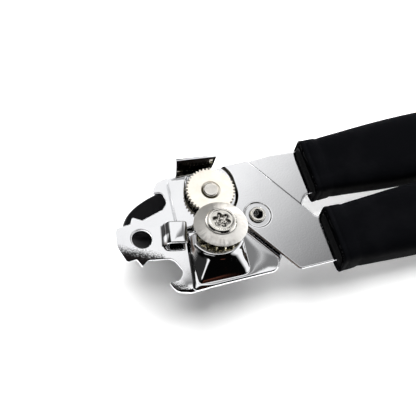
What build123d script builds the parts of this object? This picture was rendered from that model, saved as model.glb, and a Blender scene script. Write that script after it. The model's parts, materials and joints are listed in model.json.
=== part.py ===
from build123d import *
import math
import os

# Manual can opener with a bottle-opener nose, lying with its can side up.
# Frame: millimetres. The origin is on the handle pivot's axis at the underside of the upper
# handle plate. +X runs along the closed handles towards the grips, +Y towards the upper
# handle, +Z out of the can side. The crank knob hangs below, on the -Z side.

# ---------------------------------------------------------------- driving dimensions
# Sheet stock and stacking heights
plate_thickness = 1.5
bracket_thickness = 1.0
spacer_thickness = 1.2
lower_plate_z = plate_thickness + spacer_thickness
lower_plate_top = lower_plate_z + plate_thickness
bracket_top = plate_thickness + bracket_thickness

# Handle pivot: a hollow rivet set in the upper plate, on which the lower plate turns
rivet_bore_radius = 1.85
rivet_tube_radius = 2.6
rivet_head_radius = 3.3
rivet_head_height = 1.2
rivet_foot_radius = 4.4
rivet_foot_height = 0.8
rivet_curl = 0.45
pivot_washer_radius = 5.4
pivot_washer_thickness = 0.6
pivot_spacer_radius = 6.0
pivot_recess_radius = 5.4
pivot_recess_depth = 0.45
running_clearance = 0.06
face_clearance = 0.05

# Crank: shaft, bushing, coarse gear, fine feed wheel, knob
shaft_x, shaft_y = -16.4, 13.3
shaft_radius = 3.0
shaft_top = 9.2
# Pressed dish: two circles, x, y, radius, whose hull is its floor; its wall slopes outwards
feed_recess_circles = [(-15.4, 13.6, 10.0), (-14.5, 18.0, 9.2)]
feed_recess_depth = 1.0
feed_recess_slope = 1.2
feed_recess_wall = 0.5
bushing_radius = 4.4
bushing_flange_radius = 6.2
bushing_flange_thickness = 0.25
bushing_bottom = -1.2
shaft_tail = 1.2
shaft_chamfer = 0.35
crank_washer_thickness = 1.0
crank_washer_radius = 6.5
gear_thickness = 2.5
drive_gear_z = 3.85
feed_wheel_radius = 9.9
feed_wheel_z = 6.9
feed_wheel_thickness = 1.7
feed_tooth_count = 40
feed_tooth_depth = 0.75
feed_tooth_width = 0.69
feed_pressure_angle = 24.0
feed_groove_inner_radius = 3.1
feed_groove_outer_radius = 3.9
feed_groove_depth = 0.5
knob_top = -8.5
knob_thickness = 12.0
knob_half_length = 34.6
knob_half_width = 14.2
knob_edge_radius = 3.5
knob_neck_radius = 7.5
arm_length = 52.0
arm_width = 9.0
arm_thickness = 2.0
arm_top = -12.5
cap_thickness = 2.0

# Coarse gear pair: equal wheels, the cutter's leaning towards the shaft
gear_teeth = 16
gear_pitch_radius = 8.55
gear_tip_radius = 9.3
gear_root_radius = 7.45
gear_tooth_width = 1.42
gear_pressure_angle = 28.0
gear_centre_clearance = 0.34
gear_notch_gap = 0.5
gear_hub_radius = 6.45
cutter_lean = 11.0
centre_line_angle = 84.4

# Cutter stack, heights measured along the leaning stud from the gear's mid-plane
cutter_radius = 10.8
cutter_hub_radius = 6.4
cutter_hub_thickness = 1.6
cutter_edge_thickness = 0.15
cutter_edge_gap = 0.25
cutter_spacer_radius = 5.6
stud_shoulder_radius = 3.0
stud_thread_radius = 2.0
stud_head_radius = 5.5
stud_head_base_radius = 6.3
stud_head_height = 1.6
stud_socket_radius = 2.3
stud_socket_depth = 1.3
stud_socket_arm_width = 1.6
stud_socket_arms = 3
stud_groove_radius = 4.2
stud_groove_width = 0.4
stud_groove_depth = 0.25
stud_crown = 0.25
spring_washer_thickness = 0.4
spring_washer_radius = 5.2
seat_radius = 6.6
seat_thickness = 1.2
seat_column_depth = 9.0
nut_width = 7.0
nut_thickness = 2.0
nut_pocket_radius = 4.6
stud_end_length = 0.35
access_hole_radius = 6.5

# Sweep slot in the upper plate that the crank's bushing needs as the handles open
sweep_clearance = 5.5
sweep_reach = 40.0
opening_angle = 38.0

# Length by which a cutting tool passes through the metal it cuts, a size larger than the part,
# and the distance within which two edges count as being at the same place
cut_margin = 1.0
big = 400.0
same_place = 0.01

# Grips
grip_start_upper, grip_start_lower = 27.0, 25.6
grip_end = 150.0
grip_y_upper, grip_y_lower = 14.8, -17.6
grip_thickness = 17.0
grip_edge_radius = 6.6
grip_mouth_radius = 1.1
grip_hull_start = -14.0
grip_hull_half_width = 11.55
grip_mid_half_width = 14.2
grip_end_half_width = 11.3
grip_mid_distance = 47.0
core_width = 22.4
core_thickness = 8.0
core_corner_radius = 3.0
core_length = 92.0
tang_end = 104.0
tang_end_half_width = 6.5

# Bridge lanced up from the upper plate; it holds the lower plate's left edge down
bridge_y_low, bridge_y_high = -4.2, 5.3
bridge_x = -35.2
bridge_turn = -13.0
bridge_top = 5.9
bridge_thickness = 1.4
bridge_outer_bend = 1.5
bridge_inner_bend = 0.5
bridge_corner = 0.1

hang_hole_x, hang_hole_y = -47.7, 2.5
hang_hole_radius = 4.0

# ---------------------------------------------------------------- outlines: x, y, corner radius
# Upper handle plate: tang, body behind the cutter, bottle-opener nose
upper_outline = [
    (tang_end, grip_y_upper + tang_end_half_width, 2.0),
    (34.0, 24.6, 12.0),
    (15.0, 25.9, 12.0),
    (4.0, 25.2, 4.0),
    (-8.0, 25.2, 1.0),
    (-24.0, 25.6, 2.0),
    (-29.2, 26.4, 3.0),
    (-34.9, 25.2, 4.0),
    (-38.4, 20.6, 1.2),
    (-34.0, 20.2, 1.5),
    (-33.2, 15.4, 3.0),
    (-35.9, 12.9, 2.0),
    (-45.2, 10.3, 0.4),
    (-48.8, 12.7, 0.8),
    (-50.2, 9.9, 0.8),
    (-56.6, 9.6, 2.5),
    (-58.3, 2.0, 8.0),
    (-56.2, -5.6, 1.5),
    (-52.2, -5.3, 0.6),
    (-50.9, -9.0, 0.5),
    (-48.0, -6.9, 1.5),
    (-38.2, -8.8, 4.0),
    (-35.8, -15.2, 2.5),
    (-38.6, -17.9, 1.0),
    (-43.0, -18.1, 0.5),
    (-40.8, -22.6, 4.0),
    (-35.6, -24.2, 2.0),
    (-3.0, -24.1, 3.0),
    (2.0, -21.6, 2.0),
    (19.9, 0.4, 3.0),
    (23.6, 5.2, 4.0),
    (34.0, 5.0, 12.0),
    (tang_end, grip_y_upper - tang_end_half_width, 2.0),
]

# Lower handle plate: feed head, diagonal neck, tang
lower_outline = [
    (-30.7, 24.4, 1.5),
    (3.9, 24.5, 1.0),
    (23.6, -7.2, 5.0),
    (34.0, -7.2, 12.0),
    (tang_end, grip_y_lower + tang_end_half_width, 2.0),
    (tang_end, grip_y_lower - tang_end_half_width, 2.0),
    (34.0, -27.0, 12.0),
    (9.1, -26.8, 2.4),
    (-5.4, -3.9, 2.0),
    (-7.4, -0.9, 1.0),
    (-33.2, 1.9, 1.0),
]

# Cutter bracket: the raised sheet under the cutter
bracket_outline = [
    (-30.4, 0.7, 0.8),
    (-12.0, 0.7, 2.0),
    (-8.6, -2.0, 1.0),
    (5.6, -24.6, 4.0),
    (-34.9, -24.3, 1.6),
]

# Pressed-up tent in the bracket: base corners, and the ramp's corners above them
tent_base = [(-29.6, -2.6), (-8.2, -6.6), (-10.0, -23.0), (-31.6, -21.9)]
tent_ramp = [(-28.6, -4.0), (-9.8, -7.2), (-15.5, -14.8), (-25.8, -13.5)]
ramp_front_y, ramp_front_z, ramp_slope = -13.5, 7.0, 0.40
tent_wall = 1.0
tent_foot = 1.7
tent_hollow_shrink = 0.9

# Rim guide flange, twisted a little so that it follows the can's rim
flange_left, flange_right = -27.0, -11.7
flange_root_y = 25.7
flange_top_left = (-27.0, 28.4)
flange_top_right = (-10.6, 26.4)
flange_height = 8.2
flange_foot = 2.6
flange_bend_radius = 0.8


# ---------------------------------------------------------------- helpers
def sheet(outline, z_low, thickness):
    """A flat plate from corner points that each carry their own fillet radius."""
    corners = [(x, y) for x, y, radius in outline]
    radii = [radius for x, y, radius in outline]
    face = make_face(FilletPolyline(*corners, radius=radii, close=True))
    return Pos(0, 0, z_low) * extrude(face, thickness)


def disc(x, y, radius, z_low, z_high):
    """An upright cylinder between two heights."""
    return Pos(x, y, z_low) * extrude(Circle(radius), z_high - z_low)


def ring(x, y, inner, outer, z_low, z_high):
    """An upright tube between two heights."""
    bore = disc(x, y, inner, z_low - cut_margin, z_high + cut_margin)
    return disc(x, y, outer, z_low, z_high) - bore


def turned(profile):
    """A solid of revolution about Z from radius, height pairs."""
    points = [(radius, 0, height) for radius, height in profile]
    return revolve(make_face(Polyline(*points, close=True)), Axis.Z, 360)


def gear_profile(teeth, pitch, tip, root, width, pressure):
    """Gear outline whose straight flanks have the pressure angle at the pitch circle."""
    slope = math.tan(math.radians(pressure))
    root_half = (width / 2 + (pitch - root) * slope) / root
    tip_half = (width / 2 - (tip - pitch) * slope) / tip
    points = []
    for tooth in range(teeth):
        middle = 2 * math.pi * tooth / teeth
        for radius, angle in (
            (root, middle - root_half),
            (tip, middle - tip_half),
            (tip, middle + tip_half),
            (root, middle + root_half),
        ):
            points.append((radius * math.cos(angle), radius * math.sin(angle)))
    return make_face(Polyline(*points, close=True))


def coarse_gear():
    """The 16-tooth gear, centred on its own mid-plane, with a tooth on +X."""
    face = gear_profile(
        gear_teeth,
        gear_pitch_radius,
        gear_tip_radius,
        gear_root_radius,
        gear_tooth_width,
        gear_pressure_angle,
    )
    return Pos(0, 0, -gear_thickness / 2) * extrude(face, gear_thickness)


def ramp_height(y):
    """Height of the tent's sloping top."""
    return ramp_front_z + (ramp_front_y - y) * ramp_slope


# ---------------------------------------------------------------- cutter frame
lean = math.radians(cutter_lean)
line = math.radians(centre_line_angle)
toward_shaft = (math.cos(line), math.sin(line))
gear_mid_z = drive_gear_z + gear_thickness / 2
gear_distance = gear_pitch_radius * (1 + math.cos(lean)) + gear_centre_clearance
cutter_x = shaft_x - gear_distance * toward_shaft[0]
cutter_y = shaft_y - gear_distance * toward_shaft[1]
cutter_z = gear_mid_z + gear_pitch_radius * math.sin(lean)
# The stud's own frame: its Z leans towards the shaft and its X lies in the leaning plane
cutter_plane = Plane(
    origin=(cutter_x, cutter_y, cutter_z),
    x_dir=(toward_shaft[0] * math.cos(lean), toward_shaft[1] * math.cos(lean), -math.sin(lean)),
    z_dir=(toward_shaft[0] * math.sin(lean), toward_shaft[1] * math.sin(lean), math.cos(lean)),
)
feed_top = feed_wheel_z + feed_wheel_thickness
edge_height = feed_top + cutter_edge_gap + cutter_radius * math.sin(lean) - cutter_z
cutter_low = edge_height / math.cos(lean)
cutter_high = cutter_low + cutter_hub_thickness
seat_top = -gear_thickness / 2 - spring_washer_thickness - 2 * face_clearance
seat_bottom = seat_top - seat_thickness
nut_bottom = seat_bottom - nut_thickness


def on_stud(solid):
    """Moves a solid built about its own Z axis onto the leaning stud."""
    return cutter_plane.location * solid


# ---------------------------------------------------------------- upper handle
def bridge():
    """The bent strip, rooted in the plate on its left and reaching over the lower plate's edge."""
    foot = plate_thickness - bridge_corner
    under = bridge_top - bridge_thickness
    profile = [
        (-40.1, foot, bridge_corner),
        (-38.0, bridge_top, bridge_outer_bend),
        (-31.3, bridge_top, bridge_corner),
        (-31.3, under, bridge_corner),
        (-36.7, under, bridge_inner_bend),
        (-38.4, foot, bridge_corner),
    ]
    points = [(x, bridge_y_high, z) for x, z, radius in profile]
    radii = [radius for x, z, radius in profile]
    face = make_face(FilletPolyline(*points, radius=radii, close=True))
    strip = extrude(face, bridge_y_high - bridge_y_low, dir=(0, -1, 0))
    middle = Pos(bridge_x, (bridge_y_low + bridge_y_high) / 2, 0)
    return middle * Rot(0, 0, bridge_turn) * middle.inverse() * strip


def sweep_slot():
    """Open-topped clearance that the crank's bushing passes through as the handles open."""
    swing = math.radians(opening_angle)
    end_x = shaft_x * math.cos(swing) + shaft_y * math.sin(swing)
    end_y = shaft_y * math.cos(swing) - shaft_x * math.sin(swing)
    left = shaft_x - sweep_clearance
    right = end_x + sweep_clearance
    shaft_distance = math.hypot(shaft_x, shaft_y)
    reach = sweep_reach / shaft_distance
    start_corner = (shaft_x * reach, shaft_y * reach)
    end_corner = (end_x * reach, end_y * reach)
    wedge = make_face(Polyline((0, 0), start_corner, end_corner, close=True))
    swept = wedge & Circle(shaft_distance + sweep_clearance)
    window = Pos((left + right) / 2, shaft_y + sweep_reach / 2) * Rectangle(right - left, sweep_reach)
    slot = window + swept - Circle(shaft_distance - sweep_clearance)
    slot = slot + Pos(shaft_x, shaft_y) * Circle(sweep_clearance)
    return Pos(0, 0, -cut_margin) * extrude(slot, plate_thickness + 2 * cut_margin)


def upper_handle_plate():
    plate = sheet(upper_outline, 0, plate_thickness)
    plate = plate + bridge()
    low, high = -cut_margin, plate_thickness + cut_margin
    plate = plate - disc(hang_hole_x, hang_hole_y, hang_hole_radius, low, high)
    plate = plate - disc(0, 0, rivet_tube_radius, low, high)
    plate = plate - disc(cutter_x, cutter_y, access_hole_radius, low, high)
    return plate - sweep_slot()


def tent_solid(shrink, drop):
    """The tent's outside, or when shrunk in plan and dropped its hollow inside."""
    base_x = sum(x for x, y in tent_base) / len(tent_base)
    base_y = sum(y for x, y in tent_base) / len(tent_base)
    low = [(base_x + (x - base_x) * shrink, base_y + (y - base_y) * shrink) for x, y in tent_base]
    high = [(base_x + (x - base_x) * shrink, base_y + (y - base_y) * shrink) for x, y in tent_ramp]
    floor = [(x, y, tent_foot - drop) for x, y in low]
    ramp = [(x, y, ramp_height(y) - drop) for x, y in high]
    lower_face = make_face(Polyline(*floor, close=True))
    upper_face = make_face(Polyline(*ramp, close=True))
    return loft([lower_face, upper_face], ruled=True)


def cutter_bracket():
    bracket = sheet(bracket_outline, plate_thickness, bracket_thickness)
    bracket = bracket + tent_solid(1, 0)
    below = Pos(0, 0, plate_thickness - big / 2) * Box(big, big, big)
    bracket = bracket + (seat_column() - below)
    bracket = bracket - (tent_solid(tent_hollow_shrink, tent_wall) - seat_column())
    pocket = Pos(0, 0, seat_bottom - big) * extrude(Circle(nut_pocket_radius), big)
    stud_hole = extrude(Circle(stud_thread_radius), seat_column_depth, both=True)
    return bracket - on_stud(pocket) - on_stud(stud_hole)


def seat_column():
    """Metal left standing round the stud, under the cutter gear's spring washer."""
    low = seat_top - seat_column_depth
    return on_stud(Pos(0, 0, low) * extrude(Circle(seat_radius), seat_column_depth))


def grip_body(start, y_centre, z_centre):
    """Outside of one grip: a hull of three circles with rounded edges and a flat mouth."""
    length = grip_end - start
    end_x = length - grip_end_half_width
    circles = [
        Pos(grip_hull_start, 0) * Circle(grip_hull_half_width),
        Pos(grip_mid_distance, 0) * Circle(grip_mid_half_width),
        Pos(end_x, 0) * Circle(grip_end_half_width),
    ]
    outline = make_hull([edge for circle in circles for edge in circle.edges()])
    body = Pos(0, 0, -grip_thickness / 2) * extrude(outline, grip_thickness)
    rims = body.faces().filter_by(Axis.Z).edges()
    body = fillet(rims, grip_edge_radius)
    body = body - Pos(-big / 2, 0, 0) * Box(big, big, big)
    mouth = body.faces().sort_by(Axis.X)[0].edges()
    body = fillet(mouth, grip_mouth_radius)
    return Pos(start, y_centre, z_centre) * body


def core_body(start, y_centre, z_centre):
    """Rigid insert that the tang is moulded into, flush with the grip's mouth."""
    section = RectangleRounded(core_width, core_thickness, core_corner_radius)
    bar = extrude(Plane.YZ * section, core_length)
    return Pos(start, y_centre, z_centre) * bar


def grip_pair(start, y_centre, z_centre, plate):
    """Soft grip and its rigid core round one plate's tang."""
    cover = grip_body(start, y_centre, z_centre) - core_body(start, y_centre, z_centre) - plate
    core = core_body(start, y_centre, z_centre) - plate
    return cover, core


# ---------------------------------------------------------------- lower handle
def rim_flange():
    """The upright guide, lofted from its root to its top edge, with a rounded inside bend."""
    root_z = lower_plate_z
    low = [
        (flange_left, flange_root_y - plate_thickness, root_z),
        (flange_right, flange_root_y - plate_thickness, root_z),
        (flange_right, flange_root_y, root_z),
        (flange_left, flange_root_y, root_z),
    ]
    top_z = lower_plate_top + flange_height
    high = [
        (flange_top_left[0], flange_top_left[1] - plate_thickness, top_z),
        (flange_top_right[0], flange_top_right[1] - plate_thickness, top_z),
        (flange_top_right[0], flange_top_right[1], top_z),
        (flange_top_left[0], flange_top_left[1], top_z),
    ]
    faces = [make_face(Polyline(*corners, close=True)) for corners in (low, high)]
    wall = loft(faces, ruled=True)
    width = flange_right - flange_left
    middle_y = flange_root_y - flange_foot / 2
    foot = Pos((flange_left + flange_right) / 2, middle_y, root_z + plate_thickness / 2)
    flange = wall + foot * Box(width, flange_foot, plate_thickness)
    level = flange.edges().filter_by(lambda edge: abs(edge.center().Z - lower_plate_top) < same_place)
    longest = level.sort_by(SortBy.LENGTH)[-2:]
    return fillet(longest.sort_by(Axis.Y)[-1], flange_bend_radius)


def dish(wall, z_low):
    """The pressed dish under the feed wheel, or with a wall's width added its outside."""
    faces = []
    for height, growth in ((0, wall), (feed_recess_depth, wall + feed_recess_slope)):
        circles = [Pos(x, y) * Circle(radius + growth) for x, y, radius in feed_recess_circles]
        outline = make_hull([edge for circle in circles for edge in circle.edges()])
        faces.append(Pos(0, 0, z_low + height) * outline)
    return loft(faces, ruled=True)


def lower_handle_plate():
    plate = sheet(lower_outline, lower_plate_z, plate_thickness)
    recess_floor = lower_plate_top - feed_recess_depth
    bulge_low = lower_plate_z - feed_recess_depth
    low, high = -cut_margin, lower_plate_top + cut_margin
    layer = sheet(lower_outline, bulge_low, feed_recess_depth)
    bulge = dish(feed_recess_wall, bulge_low)
    plate = plate + (bulge & layer)
    plate = plate - dish(0, recess_floor)
    plate = plate + rim_flange()
    notch_radius = gear_tip_radius + gear_notch_gap
    plate = plate - disc(cutter_x, cutter_y, notch_radius, low, high)
    plate = plate - disc(shaft_x, shaft_y, bushing_radius, low, high)
    plate = plate - disc(0, 0, rivet_tube_radius + running_clearance, low, high)
    recess_z = lower_plate_top - pivot_recess_depth
    return plate - disc(0, 0, pivot_recess_radius, recess_z, high)


def shaft_bushing():
    floor = lower_plate_top - feed_recess_depth
    bore = shaft_radius + running_clearance
    tube = ring(shaft_x, shaft_y, bore, bushing_radius, bushing_bottom, floor)
    flange_top = floor + bushing_flange_thickness
    return tube + ring(shaft_x, shaft_y, bore, bushing_flange_radius, floor, flange_top)


# ---------------------------------------------------------------- pivot
def pivot_rivet():
    head_low = lower_plate_top - pivot_recess_depth + face_clearance
    head_high = head_low + rivet_head_height
    foot_high = -pivot_washer_thickness
    foot_low = foot_high - rivet_foot_height
    curl = rivet_curl
    profile = [
        (rivet_bore_radius, foot_low),
        (rivet_foot_radius - curl, foot_low),
        (rivet_foot_radius, foot_low + curl),
        (rivet_foot_radius, foot_high),
        (rivet_tube_radius, foot_high),
        (rivet_tube_radius, head_low),
        (rivet_head_radius, head_low),
        (rivet_head_radius, head_high - curl),
        (rivet_head_radius - curl, head_high),
        (rivet_bore_radius + curl / 2, head_high),
        (rivet_bore_radius, head_high - curl / 2),
    ]
    return turned(profile)


def pivot_spacer():
    z_high = lower_plate_z - face_clearance
    return ring(0, 0, rivet_tube_radius, pivot_spacer_radius, plate_thickness, z_high)


def pivot_washer():
    return ring(0, 0, rivet_tube_radius, pivot_washer_radius, -pivot_washer_thickness, 0)


# ---------------------------------------------------------------- crank
def crank_shaft():
    end = arm_top - arm_thickness - shaft_tail
    rod = disc(shaft_x, shaft_y, shaft_radius, end, shaft_top)
    return chamfer(rod.edges().sort_by(Axis.Z)[-1], shaft_chamfer)


def drive_gear():
    """Coarse gear on the shaft, with the short hub that carries the feed wheel."""
    gear = Rot(0, 0, centre_line_angle + 180 + 180 / gear_teeth) * coarse_gear()
    gear = Pos(shaft_x, shaft_y, gear_mid_z) * gear
    hub_low = drive_gear_z + gear_thickness
    gear = gear + disc(shaft_x, shaft_y, gear_hub_radius, hub_low, feed_wheel_z)
    return gear - disc(shaft_x, shaft_y, shaft_radius, -cut_margin, feed_top + cut_margin)


def feed_wheel():
    root = feed_wheel_radius - feed_tooth_depth
    pitch = feed_wheel_radius - feed_tooth_depth / 2
    high = feed_top + cut_margin
    face = gear_profile(
        feed_tooth_count, pitch, feed_wheel_radius, root, feed_tooth_width, feed_pressure_angle
    )
    wheel = Pos(shaft_x, shaft_y, feed_wheel_z) * extrude(face, feed_wheel_thickness)
    wheel = wheel - disc(shaft_x, shaft_y, shaft_radius, -cut_margin, high)
    groove_z = feed_top - feed_groove_depth
    inner, outer = feed_groove_inner_radius, feed_groove_outer_radius
    return wheel - ring(shaft_x, shaft_y, inner, outer, groove_z, high)


def crank_washer():
    z_high = bushing_bottom - face_clearance
    z_low = z_high - crank_washer_thickness
    return ring(shaft_x, shaft_y, shaft_radius, crank_washer_radius, z_low, z_high)


def crank_arm():
    bar = extrude(SlotOverall(arm_length, arm_width), arm_thickness)
    bar = Pos(shaft_x, shaft_y, arm_top - arm_thickness) * bar
    return bar - disc(shaft_x, shaft_y, shaft_radius, -big, 0)


def crank_knob():
    """Oval thumb knob along X, hollow underneath for the arm, with a neck on top."""
    outline = Ellipse(knob_half_length, knob_half_width)
    knob_bottom = knob_top - knob_thickness
    body = Pos(0, 0, knob_bottom) * extrude(outline, knob_thickness)
    body = fillet(body.faces().filter_by(Axis.Z).edges(), knob_edge_radius)
    neck_top = bushing_bottom - 2 * face_clearance - crank_washer_thickness
    body = body + disc(0, 0, knob_neck_radius, knob_top - cut_margin, neck_top)
    pocket_low = knob_bottom - cut_margin
    pocket = extrude(SlotOverall(arm_length, arm_width), arm_top - pocket_low)
    body = body - Pos(0, 0, pocket_low) * pocket - disc(0, 0, shaft_radius, -big, 0)
    return Pos(shaft_x, shaft_y, 0) * body


def knob_cap():
    knob_bottom = knob_top - knob_thickness
    plate = extrude(SlotOverall(arm_length, arm_width), cap_thickness)
    return Pos(shaft_x, shaft_y, knob_bottom) * plate


# ---------------------------------------------------------------- cutter
def cutter_wheel():
    bore = stud_shoulder_radius + running_clearance
    profile = [
        (bore, cutter_low),
        (cutter_radius, cutter_low),
        (cutter_radius, cutter_low + cutter_edge_thickness),
        (cutter_hub_radius, cutter_high),
        (bore, cutter_high),
    ]
    return on_stud(turned(profile))


def cutter_gear():
    bore = stud_shoulder_radius + running_clearance
    gear = coarse_gear() - extrude(Circle(bore), gear_thickness, both=True)
    return on_stud(gear)


def cutter_spacer():
    bore = stud_shoulder_radius + running_clearance
    low = gear_thickness / 2
    tube = ring(0, 0, bore, cutter_spacer_radius, low, cutter_low)
    return on_stud(tube)


def cutter_stud():
    """Shoulder screw: tapered head with a star socket, smooth shoulder, threaded end."""
    head_low = cutter_high + face_clearance
    head_high = head_low + stud_head_height
    end = nut_bottom - stud_end_length
    profile = [
        (0, end),
        (stud_thread_radius, end),
        (stud_thread_radius, seat_top),
        (stud_shoulder_radius, seat_top),
        (stud_shoulder_radius, head_low),
        (stud_head_base_radius, head_low),
        (stud_head_radius, head_high - stud_crown),
        (stud_head_radius - stud_crown, head_high),
        (0, head_high),
    ]
    stud = turned(profile)
    for turn in range(stud_socket_arms):
        arm = SlotOverall(2 * stud_socket_radius, stud_socket_arm_width)
        arm = Rot(0, 0, turn * 180 / stud_socket_arms) * arm
        socket = extrude(arm, stud_socket_depth + cut_margin)
        stud = stud - Pos(0, 0, head_high - stud_socket_depth) * socket
    outer = stud_groove_radius + stud_groove_width
    groove_low = head_high - stud_groove_depth
    groove = ring(0, 0, stud_groove_radius, outer, groove_low, head_high + cut_margin)
    return on_stud(stud - groove)


def cutter_spring_washer():
    low = seat_top
    high = seat_top + spring_washer_thickness + face_clearance
    return on_stud(ring(0, 0, stud_shoulder_radius, spring_washer_radius, low, high))


def cutter_nut():
    hexagon = RegularPolygon(nut_width / 2, 6, major_radius=False)
    nut = Pos(0, 0, nut_bottom) * extrude(hexagon, nut_thickness)
    nut = nut - extrude(Circle(stud_thread_radius), seat_column_depth, both=True)
    return on_stud(nut)


# ---------------------------------------------------------------- build and write
upper_plate = upper_handle_plate()
lower_plate = lower_handle_plate()
upper_z = plate_thickness / 2
lower_z = lower_plate_z + plate_thickness / 2
upper_cover, upper_core = grip_pair(grip_start_upper, grip_y_upper, upper_z, upper_plate)
lower_cover, lower_core = grip_pair(grip_start_lower, grip_y_lower, lower_z, lower_plate)

nodes = {
    "upper_handle_plate": upper_plate,
    "cutter_bracket": cutter_bracket(),
    "upper_grip": upper_cover,
    "upper_grip_core": upper_core,
    "pivot_rivet": pivot_rivet(),
    "pivot_spacer": pivot_spacer(),
    "pivot_washer": pivot_washer(),
    "cutter_stud": cutter_stud(),
    "cutter_spring_washer": cutter_spring_washer(),
    "cutter_nut": cutter_nut(),
    "lower_handle_plate": lower_plate,
    "lower_grip": lower_cover,
    "lower_grip_core": lower_core,
    "shaft_bushing": shaft_bushing(),
    "crank_shaft": crank_shaft(),
    "drive_gear": drive_gear(),
    "feed_wheel": feed_wheel(),
    "crank_washer": crank_washer(),
    "crank_arm": crank_arm(),
    "crank_knob": crank_knob(),
    "knob_cap": knob_cap(),
    "cutter_wheel": cutter_wheel(),
    "cutter_gear": cutter_gear(),
    "cutter_spacer": cutter_spacer(),
}

os.makedirs("parts", exist_ok=True)
for name, shape in nodes.items():
    export_step(shape, f"parts/{name}.step")
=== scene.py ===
import json
import math

import bmesh
import bpy
from mathutils import Matrix, Vector, geometry


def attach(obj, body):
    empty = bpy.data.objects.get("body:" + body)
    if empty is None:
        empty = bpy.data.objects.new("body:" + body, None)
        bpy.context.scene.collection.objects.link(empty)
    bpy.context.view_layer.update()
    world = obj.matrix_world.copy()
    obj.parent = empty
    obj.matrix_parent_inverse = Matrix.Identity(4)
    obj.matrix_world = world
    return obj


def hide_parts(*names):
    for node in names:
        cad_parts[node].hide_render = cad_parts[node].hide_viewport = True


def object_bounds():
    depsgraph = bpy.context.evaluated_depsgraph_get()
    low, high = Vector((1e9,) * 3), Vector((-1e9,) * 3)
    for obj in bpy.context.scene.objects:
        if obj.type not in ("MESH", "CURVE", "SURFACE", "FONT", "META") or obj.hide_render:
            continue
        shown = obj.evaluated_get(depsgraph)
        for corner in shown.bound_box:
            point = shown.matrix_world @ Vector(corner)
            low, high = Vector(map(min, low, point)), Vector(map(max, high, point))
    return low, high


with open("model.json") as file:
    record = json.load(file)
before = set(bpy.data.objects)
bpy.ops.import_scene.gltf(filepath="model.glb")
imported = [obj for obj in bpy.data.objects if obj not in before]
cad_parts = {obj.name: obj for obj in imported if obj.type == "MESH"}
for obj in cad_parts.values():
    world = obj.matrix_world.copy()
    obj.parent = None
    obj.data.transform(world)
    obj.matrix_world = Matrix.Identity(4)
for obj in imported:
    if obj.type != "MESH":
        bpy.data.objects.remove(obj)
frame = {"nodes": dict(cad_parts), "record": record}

CAD_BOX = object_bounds()
MM = 0.001
nodes = frame["nodes"]
record = frame["record"]
joints = {joint["name"]: joint for joint in record["behaviour"]["joints"]}

# ------------------------------------------------------------ dimensions, in millimetres
PLATE = 1.5                                   # sheet thickness
LOWER_TOP = 4.2                               # top of the lower handle's sheet
EDGE = 0.42                                   # rounding of a sheared sheet's edge
EDGE_MARGIN = 0.3                             # flat sheet between that rounding and the fill
SHAFT = Vector(joints["crank_spin"]["pos_m"][:2]) / MM
CUTTER = Vector(joints["cutter_spin"]["pos_m"]) / MM
CUTTER_AXIS = Vector(joints["cutter_spin"]["axis"]).normalized()
RIVET_BORE, RIVET_TUBE, RIVET_HEAD = 1.85, 2.6, 3.3
SWEEP = 5.5                                   # room for the crank's bushing as the handles open
GEAR_ROOM = 9.8                               # room for the cutter's gear in the lower sheet
ACCESS_HOLE = 6.5                             # in the upper sheet under the cutter stud
HANG_HOLE = (-47.7, 2.5, 4.0)
SHAFT_HOLE, PIVOT_HOLE = 4.4, 2.66            # in the lower sheet

# Outlines as corners with fillet radii
UPPER_OUTLINE = [
    (104.0, 21.3, 2.0), (34.0, 24.6, 12.0), (15.0, 25.9, 12.0), (4.0, 25.2, 4.0), "sweep slot",
    (-24.0, 25.6, 2.0), (-29.2, 26.4, 3.0), (-34.9, 25.2, 4.0), (-38.4, 20.6, 1.2), (-34.0, 20.2, 1.5),
    (-33.2, 15.4, 3.0), (-35.9, 12.9, 2.0), (-45.2, 10.3, 0.4), (-48.8, 12.7, 0.8), (-50.2, 9.9, 0.8),
    (-56.6, 9.6, 2.5), (-58.3, 2.0, 8.0), (-56.2, -5.6, 1.5), (-52.2, -5.3, 0.6), (-50.9, -9.0, 0.5),
    (-48.0, -6.9, 1.5), (-38.2, -8.8, 4.0), (-35.8, -15.2, 2.5), (-38.6, -17.9, 1.0), (-43.0, -18.1, 0.5),
    (-40.8, -22.6, 4.0), (-35.6, -24.2, 2.0), (-3.0, -24.1, 3.0), (2.0, -21.6, 2.0), (19.9, 0.4, 3.0),
    (23.6, 5.2, 4.0), (34.0, 5.0, 12.0), (104.0, 8.3, 2.0),
]
LOWER_OUTLINE = [
    (-30.7, 24.4, 1.5), (3.9, 24.5, 1.0), (23.6, -7.2, 5.0), (34.0, -7.2, 12.0), (104.0, -11.1, 2.0),
    (104.0, -24.1, 2.0), (34.0, -27.0, 12.0), (9.1, -26.8, 2.4), (-5.4, -3.9, 2.0), (-7.6, -0.9, 0.6),
    "cutter notch", (-33.2, 1.9, 1.0),
]
BRACKET_OUTLINE = [
    (-30.4, 0.7, 0.8), (-12.0, 0.7, 2.0), (-8.6, -2.0, 1.0), (5.6, -24.6, 4.0), (-34.9, -24.3, 1.6),
]
TENT_BASE = [(-30.4, -1.6, 1.0), (-8.9, -4.6, 2.5), (-10.6, -22.4, 3.4), (-31.6, -21.8, 1.0)]


def arc_corners(x, y, radius, start, end, count):
    """Outline corners along an arc, in degrees."""
    angles = [math.radians(start + (end - start) * k / (count - 1)) for k in range(count)]
    return [(x + radius * math.cos(a), y + radius * math.sin(a), 1.2) for a in angles]


def filled_in(outline, name, corners):
    """The outline with corners in place of a named stretch."""
    place = outline.index(name)
    return outline[:place] + corners + outline[place + 1:]


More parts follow.
